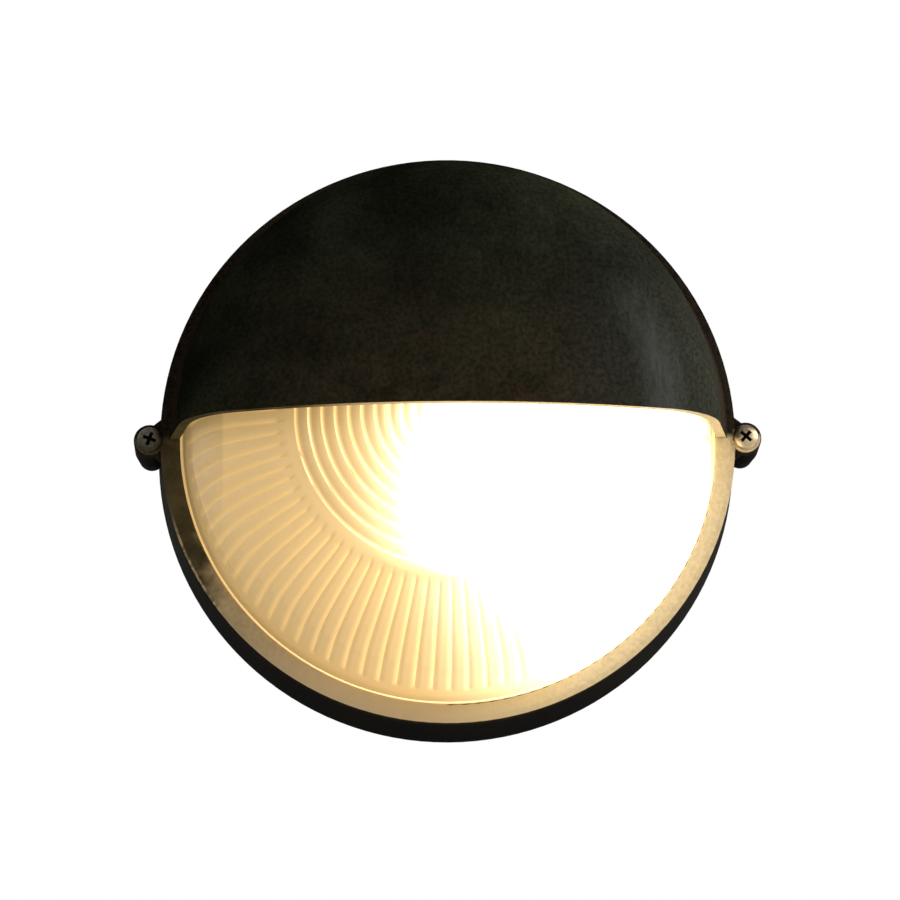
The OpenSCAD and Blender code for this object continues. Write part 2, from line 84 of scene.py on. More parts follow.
fill_strength = 0.14
world = bpy.data.worlds.new("studio")
bpy.context.scene.world = world
world.use_nodes = True
sky = world.node_tree
sky.nodes.clear()
seen = sky.nodes.new("ShaderNodeBackground")
seen.inputs["Color"].default_value = (1, 1, 1, 1)
seen.inputs["Strength"].default_value = 1.0
fill = sky.nodes.new("ShaderNodeBackground")
fill.inputs["Color"].default_value = (1, 1, 1, 1)
fill.inputs["Strength"].default_value = fill_strength
path = sky.nodes.new("ShaderNodeLightPath")
blend = sky.nodes.new("ShaderNodeMixShader")
surround = sky.nodes.new("ShaderNodeOutputWorld")
white_for = path.outputs["Is Camera Ray"]
for ray in ("Is Glossy Ray", "Is Transmission Ray"):
    any_of = sky.nodes.new("ShaderNodeMath")
    any_of.operation = "MAXIMUM"
    sky.links.new(white_for, any_of.inputs[0])
    sky.links.new(path.outputs[ray], any_of.inputs[1])
    white_for = any_of.outputs[0]
sky.links.new(white_for, blend.inputs["Fac"])
sky.links.new(fill.outputs[0], blend.inputs[1])
sky.links.new(seen.outputs[0], blend.inputs[2])
sky.links.new(blend.outputs[0], surround.inputs["Surface"])


def soft_lamp(name, place, size, power):
    """A square studio lamp that points at the light."""
    data = bpy.data.lights.new(name, "AREA")
    data.shape = "SQUARE"
    data.size = size
    data.energy = power
    lamp = bpy.data.objects.new(name, data)
    bpy.context.scene.collection.objects.link(lamp)
    lamp.location = place
    lamp.rotation_mode = "QUATERNION"
    lamp.rotation_quaternion = (aim - Vector(place)).to_track_quat("-Z", "Y")


soft_lamp("lamp_right", (1.3, -1.2, 0.8), 0.9, 12)
soft_lamp("lamp_side", (1.5, 0.1, 0.55), 0.6, 20)
soft_lamp("lamp_left", (-1.6, -1.4, 0.7), 1.2, 2.2)
cycles = bpy.context.scene.cycles
cycles.max_bounces = 10
cycles.diffuse_bounces = 3
cycles.glossy_bounces = 4
cycles.transmission_bounces = 8


# Base dish: cast aluminium under matt black paint, with the sand texture of the
# mould showing through. Two screws hold it to the wall, which has rubbed its back rim.
mm = 0.001


def paint(name, rough, gloss=0.5):
    """A new material, its node tree and its Principled shader."""
    made = bpy.data.materials.new(name)
    made.use_nodes = True
    tree = made.node_tree
    shader = tree.nodes["Principled BSDF"]
    shader.inputs["Roughness"].default_value = rough
    shader.inputs["Specular IOR Level"].default_value = gloss
    return made, tree, shader


def grain(tree, scale, detail=3.0, stretch=(1, 1, 1)):
    """Noise in object space; scale is in cells per metre."""
    place = tree.nodes.new("ShaderNodeTexCoord")
    turn = tree.nodes.new("ShaderNodeMapping")
    turn.inputs["Scale"].default_value = stretch
    noise = tree.nodes.new("ShaderNodeTexNoise")
    noise.inputs["Scale"].default_value = scale
    noise.inputs["Detail"].default_value = detail
    tree.links.new(place.outputs["Object"], turn.inputs["Vector"])
    tree.links.new(turn.outputs[0], noise.inputs["Vector"])
    return noise.outputs["Fac"]


def between(tree, value, low, high, first, last):
    """Maps a value from low..high to first..last, held at the ends."""
    ramp = tree.nodes.new("ShaderNodeMapRange")
    ramp.inputs["From Min"].default_value = low
    ramp.inputs["From Max"].default_value = high
    ramp.inputs["To Min"].default_value = first
    ramp.inputs["To Max"].default_value = last
    tree.links.new(value, ramp.inputs["Value"])
    return ramp.outputs["Result"]


def worked(tree, operation, first, second):
    """One sum with two values, each a number or a socket."""
    node = tree.nodes.new("ShaderNodeMath")
    node.operation = operation
    for socket, value in zip(node.inputs, (first, second)):
        if isinstance(value, (int, float)):
            socket.default_value = value
        else:
            tree.links.new(value, socket)
    return node.outputs[0]


def both(tree, first, second):
    """Where two masks lie over each other."""
    return worked(tree, "MULTIPLY", first, second)


def either(tree, first, second):
    """Where one mask or the other lies."""
    return worked(tree, "MAXIMUM", first, second)


def band(tree, value, start, full, fading, end):
    """A mask that rises from start to full and falls from fading to end."""
    return both(tree, between(tree, value, start, full, 0, 1), between(tree, value, fading, end, 1, 0))


def blended(tree, share, first, second):
    """A colour between two colours, each a colour or a socket, by share."""
    mix = tree.nodes.new("ShaderNodeMix")
    mix.data_type = "RGBA"
    tree.links.new(share, mix.inputs["Factor"])
    for socket, colour in ((mix.inputs["A"], first), (mix.inputs["B"], second)):
        if isinstance(colour, tuple):
            socket.default_value = (*colour, 1)
        else:
            tree.links.new(colour, socket)
    return mix.outputs["Result"]


def relief(tree, shader, heights):
    """Bumps the shader by (height socket, depth in metres) pairs, one over the other."""
    normal = None
    for height, depth in heights:
        bump = tree.nodes.new("ShaderNodeBump")
        bump.inputs["Strength"].default_value = 1.0
        bump.inputs["Distance"].default_value = depth
        tree.links.new(height, bump.inputs["Height"])
        if normal is not None:
            tree.links.new(normal, bump.inputs["Normal"])
        normal = bump.outputs["Normal"]
    tree.links.new(normal, shader.inputs["Normal"])


def spot(tree):
    """Where a point of the surface is: right, out of the wall and up, and its distance from the axis."""
    place = tree.nodes.new("ShaderNodeTexCoord")
    parts = tree.nodes.new("ShaderNodeSeparateXYZ")
    tree.links.new(place.outputs["Object"], parts.inputs[0])
    right, inward, up = parts.outputs
    out = worked(tree, "MULTIPLY", inward, -1.0)
    square = worked(tree, "ADD", worked(tree, "MULTIPLY", right, right), worked(tree, "MULTIPLY", up, up))
    return right, out, up, worked(tree, "SQRT", square, 0.0)


def wear(node_name, material):
    """Gives a CAD node its finish."""
    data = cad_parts[node_name].data
    data.materials.clear()
    data.materials.append(material)


deep_black = (0.0035, 0.0033, 0.0024)
worn_black = (0.0115, 0.0095, 0.0065)
bare_dark = (0.30, 0.29, 0.27)
edge_wear = 2.5 * mm
base_paint, tree, shader = paint("base_black_paint", 0.78, 0.015)
sand = grain(tree, 1400, 2.0)
patch = grain(tree, 38, 4.0)
right, out, up, radius = spot(tree)
black = blended(tree, between(tree, patch, 0.35, 0.7, 0, 1), deep_black, worn_black)
wall_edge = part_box("base_housing")[1][2]
edge = both(tree, between(tree, out, 0.8 * mm, 2.6 * mm, 1, 0),
            between(tree, radius, wall_edge - edge_wear, wall_edge - 0.8 * mm, 0.75, 1))
rubbed = between(tree, both(tree, grain(tree, 210, 6.0), edge), 0.54, 0.6, 0, 1)
tree.links.new(blended(tree, rubbed, black, bare_dark), shader.inputs["Base Color"])
tree.links.new(between(tree, rubbed, 0, 1, 0, 0.9), shader.inputs["Metallic"])
tree.links.new(between(tree, patch, 0.3, 0.7, 0.7, 0.88), shader.inputs["Roughness"])
relief(tree, shader, [(patch, 0.4 * mm), (sand, 0.12 * mm)])
wear("base_housing", base_paint)

# Seals: flat rings cut from black rubber sheet, one under the frame and one over
# the rim of the glass, and the moulded grommet in the cable entry.
rubber, tree, shader = paint("seal_rubber", 0.85, 0.3)
fresh_rubber = (0.012, 0.012, 0.012)
aged_rubber = (0.03, 0.03, 0.029)
bloom = grain(tree, 90, 3.0)
tree.links.new(blended(tree, bloom, fresh_rubber, aged_rubber), shader.inputs["Base Color"])
relief(tree, shader, [(grain(tree, 2200, 2.0), 0.04 * mm)])
for seal in ("housing_gasket", "glass_gasket", "cable_grommet"):
    wear(seal, rubber)

# Front frame: ring, half hood and two ears in one aluminium casting, painted black. The
# ring's face and the hood's cut edge are worn to the bare metal, but for thin olive paint
# at their left ends. The hood has a painted brown glow of the bulb over the lamp, a painted
# lit side on the right, rust and painted shade at its foot and a painted highlight where it
# turns; the ring's bottom is painted lighter and its worn outer edge has a painted highlight.
glass_low, glass_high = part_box("glass_lens")
rim_depth = 8.8 * mm
rim_back = -glass_high[1]
flange_face = rim_back + rim_depth
body_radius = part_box("front_frame")[1][2]
mouth_radius = 110 * mm
paint_dark = (0.0105, 0.0115, 0.0066)
paint_light = (0.029, 0.03, 0.0172)
painted_glow_brown = (0.046, 0.0325, 0.0185)
painted_lit_grey = (0.04, 0.04, 0.032)
rust_and_shade_brown = (0.034, 0.022, 0.014)
scratch_grey = (0.05, 0.05, 0.042)
painted_highlight_grey = (0.06, 0.063, 0.054)
thin_olive = (0.14, 0.115, 0.055)
bare_tan = (0.58, 0.46, 0.27)
bare_gold = (0.69, 0.545, 0.325)
painted_light_low = (0.86, 0.67, 0.4)
shine_on_turn = 0.11
frame_paint, tree, shader = paint("frame_worn_paint_and_painted_light", 0.5)
right, out, up, radius = spot(tree)
faces = tree.nodes.new("ShaderNodeTexCoord")
facing = tree.nodes.new("ShaderNodeSeparateXYZ")
tree.links.new(faces.outputs["Normal"], facing.inputs[0])
sand = grain(tree, 1100, 3.0)
cloud = grain(tree, 26, 5.0)
speck = grain(tree, 620, 4.0)
blotch = grain(tree, 95, 6.0)
streak = grain(tree, 300, 3.0, (1.0, 1.0, 0.12))
forward = between(tree, facing.outputs[1], -0.6, -0.85, 0, 1)
downward = between(tree, facing.outputs[2], -0.75, -0.9, 0, 1)
level_face = band(tree, out, flange_face - 1.2 * mm, flange_face - 0.7 * mm,
                  flange_face + 0.4 * mm, flange_face + 0.8 * mm)
lower_half = between(tree, up, -0.2 * mm, 2.0 * mm, 1, 0)
ring_face = both(tree, both(tree, forward, level_face), lower_half)
cut_face = both(tree, downward, between(tree, out, flange_face, flange_face + mm, 0, 1))
thin_paint = either(tree, ring_face, cut_face)
cut_face = both(tree, cut_face, between(tree, right, -62 * mm, -35 * mm, 0, 1))
mouth = between(tree, radius, mouth_radius + 0.4 * mm, mouth_radius + 0.2 * mm, 0, 1)
mouth = both(tree, mouth, lower_half)
mouth = both(tree, mouth, between(tree, out, flange_face, flange_face + 0.4 * mm, 1, 0))
bared = either(tree, either(tree, ring_face, cut_face), mouth)
ragged = worked(tree, "ADD", right, between(tree, blotch, 0.3, 0.7, -6 * mm, 6 * mm))
bared = both(tree, bared, between(tree, ragged, -104 * mm, -90 * mm, 0, 1))
# The ring's outer edge, bared in a thin broken line: worn edge and a painted highlight.
corner = band(tree, radius, body_radius - 1.1 * mm, body_radius - 0.7 * mm,
              body_radius + 0.1 * mm, body_radius + 0.3 * mm)
corner = both(tree, corner, between(tree, out, flange_face - 1.9 * mm, flange_face - 1.3 * mm, 0, 1))
corner = both(tree, corner, between(tree, up, -1 * mm, 4 * mm, 1, 0))
worn_edge_highlight = both(tree, corner, between(tree, speck, 0.42, 0.5, 0.35, 1))
worn_edge_highlight = both(tree, worn_edge_highlight, between(tree, right, -114 * mm, -110 * mm, 0, 1))
bared = either(tree, bared, worn_edge_highlight)
dents = grain(tree, 170, 4.0, (1.5, 1.0, 0.55))
dull = blended(tree, between(tree, cloud, 0.38, 0.68, 0, 1), paint_dark, paint_light)
# Brown patch over the lamp near the hood's lower edge: a painted glow of the bulb's light.
painted_glow = band(tree, right, -95 * mm, -35 * mm, 50 * mm, 85 * mm)
painted_glow = both(tree, painted_glow, between(tree, up, 64 * mm, 0.0, 0, 1))
painted_glow = both(tree, painted_glow, between(tree, blotch, 0.35, 0.6, 0.3, 1))
dull = blended(tree, painted_glow, dull, painted_glow_brown)
# Right side of the hood lighter grey: painted light of the lamps on that side.
painted_lit_side = between(tree, right, 35 * mm, 65 * mm, 0, 0.55)
painted_lit_side = both(tree, painted_lit_side, between(tree, up, 90 * mm, 40 * mm, 0, 1))
dull = blended(tree, painted_lit_side, dull, painted_lit_grey)
# Darker brown band round the hood's foot where it meets the ring: rust and painted shade.
hood_foot = worked(tree, "ADD", radius, between(tree, blotch, 0.3, 0.7, -1.6 * mm, 1.6 * mm))
rust_and_shade = between(tree, hood_foot, 110 * mm, 112.2 * mm, 0, 1)
rust_and_shade = both(tree, rust_and_shade, between(tree, speck, 0.42, 0.6, 0.5, 1))
dull = blended(tree, rust_and_shade, dull, rust_and_shade_brown)
speckled = tree.nodes.new("ShaderNodeVectorMath")
speckled.operation = "SCALE"
tree.links.new(dull, speckled.inputs[0])
tree.links.new(between(tree, speck, 0.32, 0.68, 0.66, 1.34), speckled.inputs["Scale"])
dull = speckled.outputs[0]
scratched = both(tree, between(tree, streak, 0.64, 0.72, 0, 0.5), between(tree, cloud, 0.48, 0.6, 0, 1))
dull = blended(tree, scratched, dull, scratch_grey)
# Pale grey band where the hood turns on its right: a painted highlight of the side lamp, and the paint is
# glossier there too.
turn = band(tree, radius, 75 * mm, 84 * mm, 86 * mm, 96 * mm)
turn = both(tree, turn, between(tree, right, 42 * mm, 76 * mm, 0, 1))
turn = both(tree, turn, between(tree, up, 16 * mm, 58 * mm, 1, 0))
painted_highlight = both(tree, turn, between(tree, dents, 0.35, 0.65, 0.2, 1))
dull = blended(tree, painted_highlight, dull, painted_highlight_grey)
olive = blended(tree, both(tree, thin_paint, between(tree, blotch, 0.4, 0.62, 0.5, 1)), dull, thin_olive)
metal = blended(tree, between(tree, speck, 0.35, 0.65, 0, 1), bare_tan, bare_gold)
# Bottom of the ring face painted lighter: painted light of the glass's glow.
lit_bottom = both(tree, ring_face, between(tree, up, -104 * mm, -78 * mm, 1, 0))
lit_bottom = both(tree, lit_bottom, between(tree, right, 15 * mm, 55 * mm, 1, 0.1))
metal = blended(tree, lit_bottom, metal, painted_light_low)
tree.links.new(blended(tree, bared, olive, metal), shader.inputs["Base Color"])
tree.links.new(between(tree, cloud, 0.3, 0.7, 0.4, 0.56), shader.inputs["Roughness"])
tree.links.new(between(tree, turn, 0, 1, 0, shine_on_turn), shader.inputs["Specular IOR Level"])
relief(tree, shader, [(cloud, 0.6 * mm), (dents, 0.5 * mm), (sand, 0.12 * mm)])
wear("front_frame", frame_paint)

# Glass: one pressed dome, smooth outside, with rings and ribs pressed into the inside and
# a plain rim that a rubber ring and a wire ring hold in the frame. The light of the bulb
# that the pressed inside scatters is a glow of its inner skin, brightest near the bulb.
rim_thickness = 4 * mm
rim_reach = glass_high[0]
glass_wall = 4 * mm
glass_draft = math.radians(8.7)
glass_foot = 109.04 * mm
glass_rise = -glass_low[1] - flange_face
glass_crown = 240.5 * mm
glass_shoulder = 29.8 * mm
rib_height = 1.3 * mm
rib_total = 90
rib_start = 69 * mm
rib_stop = 4.5 * mm
rib_half = math.radians(0.8)
ring_total = 11
ring_outermost = 61.5 * mm
ring_pitch = ring_outermost / (ring_total + 0.6)
ring_half = 1.35 * mm
rib_ease = 2.5 * mm
crown_rows_outside = 9
crown_rows_inside = 12
shoulder_rows = 14
outer_wall_rows = (12 * mm, 0.3 * mm)
inner_wall_rows = (18 * mm, 13 * mm, 9 * mm, 7 * mm, 6.2 * mm, 5.4 * mm, 4.5 * mm, 3 * mm)
ribbed_from = 66 * mm
ribs_in_sector = 2
out_of_wall = Matrix.Rotation(math.radians(90), 4, "X")

crown_middle = glass_rise - glass_crown
wall_normal = Vector((math.cos(glass_draft), math.sin(glass_draft)))
wall_line = Vector((-math.sin(glass_draft), math.cos(glass_draft)))
shoulder_reach = glass_foot * math.cos(glass_draft) - glass_shoulder
across = shoulder_reach - crown_middle * math.sin(glass_draft)
along = crown_middle * math.cos(glass_draft) + math.sqrt((glass_crown - glass_shoulder) ** 2 - across ** 2)
shoulder_middle = shoulder_reach * wall_normal + along * wall_line
crown_end = math.atan2(shoulder_middle.x, shoulder_middle.y - crown_middle)
shoulder_end = math.pi / 2 - glass_draft


def on_crown(radius, inset):
    """A point of the crown, as radius and height above the flange, inset into the glass."""
    return Vector((radius, crown_middle + math.sqrt((glass_crown - inset) ** 2 - radius ** 2)))


def glass_skin(inset, start, crown_steps, wall_heights):
    """Half a section of one skin of the glass: along the crown, over the shoulder and down the wall."""
    crown_edge = (glass_crown - inset) * math.sin(crown_end)
    wall_foot = glass_foot - inset / math.cos(glass_draft)
    line = [on_crown(start + (crown_edge - start) * i / crown_steps, inset) for i in range(crown_steps)]
    for i in range(shoulder_rows + 1):
        a = crown_end + (shoulder_end - crown_end) * i / shoulder_rows
        line.append(shoulder_middle + (glass_shoulder - inset) * Vector((math.sin(a), math.cos(a))))
    for height in wall_heights:
        line.append(Vector((wall_foot - height * math.tan(glass_draft), height)))
    return line


def section(name, points):
    """Half a section, drawn edge by edge through points of radius and height, left in edit mode."""
    bpy.ops.object.select_all(action="DESELECT")
    first = points[0]
    bpy.ops.mesh.primitive_plane_add(size=mm, location=(0, 0, 0))
    piece = bpy.context.object
    piece.name = piece.data.name = name
    bpy.ops.object.mode_set(mode="EDIT")
    bpy.ops.mesh.merge(type="CENTER")
    bpy.ops.transform.translate(value=(first[0], 0, first[1]))
    for here, there in zip(points, points[1:]):
        bpy.ops.mesh.extrude_region_move(
            TRANSFORM_OT_translate={"value": (there[0] - here[0], 0, there[1] - here[1])})
    return piece


def turned(piece, steps, angle=2 * math.pi):
    """Spins the section round the upright axis and closes the skin."""
    bpy.ops.mesh.select_all(action="SELECT")
    bpy.ops.mesh.spin(steps=steps, angle=angle, center=(0, 0, 0), axis=(0, 0, 1))
    bpy.ops.object.mode_set(mode="OBJECT")


def sealed(piece, gap=0.01 * mm):
    """Merges what meets, and points every face outwards."""
    bpy.ops.object.mode_set(mode="EDIT")
    bpy.ops.mesh.select_all(action="SELECT")
    bpy.ops.mesh.remove_doubles(threshold=gap)
    bpy.ops.mesh.normals_make_consistent(inside=False)
    bpy.ops.object.mode_set(mode="OBJECT")


def stood(piece, place):
    """Puts a piece that was drawn upright where it belongs, with its place in its mesh."""
    bpy.ops.object.select_all(action="DESELECT")
    piece.select_set(True)
    bpy.context.view_layer.objects.active = piece
    piece.matrix_world = place
    bpy.ops.object.transform_apply(location=True, rotation=True, scale=True)


def eased(value, low, high):
    """0 below low, 1 above high and smooth in between."""
    share = min(max((value - low) / (high - low), 0), 1)
    return share * share * (3 - 2 * share)


outer_skin = glass_skin(0, 0, crown_rows_outside, outer_wall_rows)
inner_skin = glass_skin(glass_wall, ribbed_from, crown_rows_inside, inner_wall_rows)
ring_line = []
for i in range(ring_total, 0, -1):
    middle = ring_outermost - (ring_total - i) * ring_pitch
    for step in (1, 0.5, 0, -0.5, -1):
        valley = on_crown(middle + step * ring_half, glass_wall)
        ring_line.append(valley - Vector((0, rib_height * (1 - step * step))))
flange = Vector((0, flange_face))
inner_foot = inner_skin[-1].x + (inner_skin[-1].y + rim_depth) * math.tan(glass_draft)
outline = [p + flange for p in outer_skin]
rim_front = rim_back + rim_thickness
outline += [Vector((outline[-1].x, rim_front)), Vector((rim_reach, rim_front))]
outline += [Vector((rim_reach, rim_back)), Vector((inner_foot, rim_back))]
outline += [p + flange for p in reversed(inner_skin)]
outline += [p + flange for p in ring_line]
outline.append(flange + on_crown(0, glass_wall))
lens = section("pressed_glass", outline)
rib_step = 2 * math.pi / rib_total
turned(lens, 8 * ribs_in_sector, ribs_in_sector * rib_step)
sealed(lens)
middle_of_dome = Vector((0, 0, flange_face))
inside = [v for v in lens.data.vertices
          if v.normal.dot(v.co - middle_of_dome) < 0 and math.hypot(v.co.x, v.co.y) > rib_start - 2 * mm]
normals = [v.normal.copy() for v in inside]
for v, inward in zip(inside, normals):
    r, height = math.hypot(v.co.x, v.co.y), v.co.z - flange_face
    off = abs((math.atan2(v.co.y, v.co.x) / rib_step) % 1 - 0.5) * rib_step
    if off < rib_half:
        ridge = 0.5 + 0.5 * math.cos(math.pi * off / rib_half)
        ends = eased(r, rib_start - 0.6 * mm, rib_start + 0.6 * mm)
        ends *= eased(height, rib_stop, rib_stop + rib_ease)
        v.co += inward * rib_height * ridge * ends
sector = ribs_in_sector * rib_step
bpy.ops.object.mode_set(mode="EDIT")
for copies in (3, 3, 5):
    bpy.ops.mesh.select_all(action="SELECT")
    for i in range(copies - 1):
        bpy.ops.mesh.duplicate()
        bpy.ops.transform.rotate(value=sector, orient_axis="Z", center_override=(0, 0, 0))
    sector *= copies
bpy.ops.object.mode_set(mode="OBJECT")
sealed(lens)
bpy.ops.object.shade_smooth_by_angle(angle=math.radians(60))
glass_tint = (1.0, 0.985, 0.95, 1)
# The inside's warm tan base colour is painted warmth of the bulb's light.
painted_lamp_warmth = (0.4, 0.31, 0.18, 1)
glass_outside, tree, shader = paint("glass_fire_polished", 0.05)
shader.inputs["Base Color"].default_value = glass_tint
shader.inputs["Transmission Weight"].default_value = 1.0
shader.inputs["IOR"].default_value = 1.08
glass_inside, tree, shader = paint("glass_pressed_inside", 0.5)
shader.inputs["Base Color"].default_value = painted_lamp_warmth
shader.inputs["Transmission Weight"].default_value = 0.08
shader.inputs["IOR"].default_value = 1.25
hot_spot = Vector((35.5 * mm, -52.4 * mm, -27.6 * mm))
even_glow = 0.36
near_reach = 78 * mm
glow_fall = 6.8
brightest = 2.6
glare_from = 1.3
pale_from = 0.25
held_share = 1.38
held_rise = 0.04
held_warmth = 0.13
low_lift = 1.22
lit_colour = (1.0, 0.65, 0.25)
pale_colour = (1.0, 0.84, 0.46)
hot_colour = (1.0, 0.93, 0.8)
flank_source = Vector((120 * mm, -52.4 * mm, 10 * mm))
flank_contrast = 0.95
holder_shade = 0.76
bracket_edge = -91 * mm


def vector_sum(tree, operation, first, second, result="Vector"):
    """One sum with two vectors, each a vector or a socket."""
    node = tree.nodes.new("ShaderNodeVectorMath")
    node.operation = operation
    for socket, value in zip(node.inputs, (first, second)):
        if isinstance(value, Vector):
            socket.default_value = value
        else:
            tree.links.new(value, socket)
    return node.outputs[result]


# The glow falls with the distance from the bulb's bright spot, is held back among the ribs
# and in the bracket's shadow, and changes with the lean of each flank of a rib or ring.
right, out, up, radius = spot(tree)
where = tree.nodes.new("ShaderNodeTexCoord")
to_bulb = vector_sum(tree, "SUBTRACT", hot_spot, where.outputs["Object"])
distance = worked(tree, "SQRT", vector_sum(tree, "DOT_PRODUCT", to_bulb, to_bulb, "Value"), 0.0)
reached = worked(tree, "POWER", worked(tree, "DIVIDE", near_reach, distance), glow_fall)
ribbed = both(tree, between(tree, radius, rib_start - 7 * mm, rib_start - 2 * mm, 0, 1),
              between(tree, right, -8 * mm, 55 * mm, 1, 0))
held_back = worked(tree, "ADD", 1.0, worked(tree, "MULTIPLY", reached, held_share))
held_back = worked(tree, "DIVIDE", reached, held_back)
held_back = worked(tree, "ADD", held_back, worked(tree, "MULTIPLY", reached, held_rise))
free_share = worked(tree, "MULTIPLY", reached, between(tree, ribbed, 0, 1, 1, 0))
nearness = worked(tree, "ADD", free_share, worked(tree, "MULTIPLY", held_back, ribbed))
nearness = worked(tree, "MINIMUM", nearness, brightest)
pale = either(tree, between(tree, radius, rib_start, rib_start - 9 * mm, 0, 1),
              between(tree, right, -25 * mm, 0.0, 0, 1))
pale = both(tree, pale, between(tree, reached, pale_from, glare_from, 0, 1))
warmth = blended(tree, pale, lit_colour, pale_colour)
glaring = worked(tree, "MULTIPLY", reached, between(tree, ribbed, 0, 1, 1, held_warmth))
warmth = blended(tree, between(tree, glaring, glare_from, brightest, 0, 1), warmth, hot_colour)
tree.links.new(warmth, shader.inputs["Emission Color"])
shaded = both(tree, between(tree, right, bracket_edge, bracket_edge - mm, 0, 1),
              between(tree, up, -45 * mm, -12 * mm, 0, 1))
glow = worked(tree, "ADD", nearness, even_glow)
glow = worked(tree, "MULTIPLY", glow, between(tree, shaded, 0, 1, 1, holder_shade))
glow = worked(tree, "MULTIPLY", glow, between(tree, up, -85 * mm, -106 * mm, 1, low_lift))
crown_lean = worked(tree, "DIVIDE", radius, glass_crown - glass_wall)
past_crown = worked(tree, "SUBTRACT", radius, shoulder_middle.x)
shoulder_lean = worked(tree, "DIVIDE", past_crown, glass_shoulder - glass_wall)
lean = worked(tree, "MINIMUM", worked(tree, "MAXIMUM", crown_lean, shoulder_lean), math.cos(glass_draft))
sideways = worked(tree, "DIVIDE", lean, worked(tree, "MAXIMUM", radius, mm))
smooth_normal = tree.nodes.new("ShaderNodeCombineXYZ")
tree.links.new(worked(tree, "MULTIPLY", right, sideways), smooth_normal.inputs["X"])
tree.links.new(worked(tree, "MULTIPLY", up, sideways), smooth_normal.inputs["Z"])
level_part = worked(tree, "SQRT", worked(tree, "SUBTRACT", 1.0, worked(tree, "MULTIPLY", lean, lean)), 0.0)
tree.links.new(worked(tree, "MULTIPLY", level_part, -1.0), smooth_normal.inputs["Y"])
slope = vector_sum(tree, "SUBTRACT", where.outputs["Normal"], smooth_normal.outputs[0])
to_source = vector_sum(tree, "SUBTRACT", flank_source, where.outputs["Object"])
to_source = vector_sum(tree, "NORMALIZE", to_source, Vector())
flank = vector_sum(tree, "DOT_PRODUCT", slope, to_source, "Value")
lift = between(tree, flank, -1, 1, 1 - flank_contrast, 1 + flank_contrast)
tree.links.new(worked(tree, "MULTIPLY", glow, lift), shader.inputs["Emission Strength"])
lens.data.materials.append(glass_outside)
lens.data.materials.append(glass_inside)
for face in lens.data.polygons:
    if face.normal.dot(face.center - middle_of_dome) < 0 and face.center.z > rim_back + 0.1 * mm:
        face.material_index = 1
stood(lens, out_of_wall)
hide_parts("glass_lens")
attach(lens, "root")

# Plated steel: the wire ring that springs into the frame behind the glass, the bent
# bracket that carries the lampholder, and the terminal strip's screws, all zinc plated.
zinc_dull = (0.36, 0.36, 0.35)
zinc_clean = (0.55, 0.55, 0.53)
zinc, tree, shader = paint("zinc_plate", 0.38)
shader.inputs["Metallic"].default_value = 1.0
haze = grain(tree, 320, 4.0)
tree.links.new(blended(tree, haze, zinc_dull, zinc_clean), shader.inputs["Base Color"])
tree.links.new(between(tree, haze, 0.3, 0.7, 0.3, 0.5), shader.inputs["Roughness"])
for node_name in ("glass_ring", "lampholder_bracket", "terminal_screws"):
    wear(node_name, zinc)

# Cover screws: M5 steel pan heads with a pressed cross recess and a rolled thread,
# through the ears into the base. The left one is dull and dark; the right one has painted light on its
# lower side and painted shade above.
pitch_share = 0.16
rows_in_pitch = 6
head_shape = ((0, 1), (0.3, 0.985), (0.55, 0.95), (0.75, 0.87),
              (0.88, 0.74), (0.96, 0.54), (1, 0.3), (1, 0.06))
recess_floor = 0.55
recess_top = 1.1


def drape(profile, radius):
    """Height of a head's profile at a radius."""
    for (inner, high), (outer, low) in zip(profile, profile[1:]):
        if inner <= radius <= outer:
            return high + (low - high) * (radius - inner) / (outer - inner)
    return profile[-1][1]


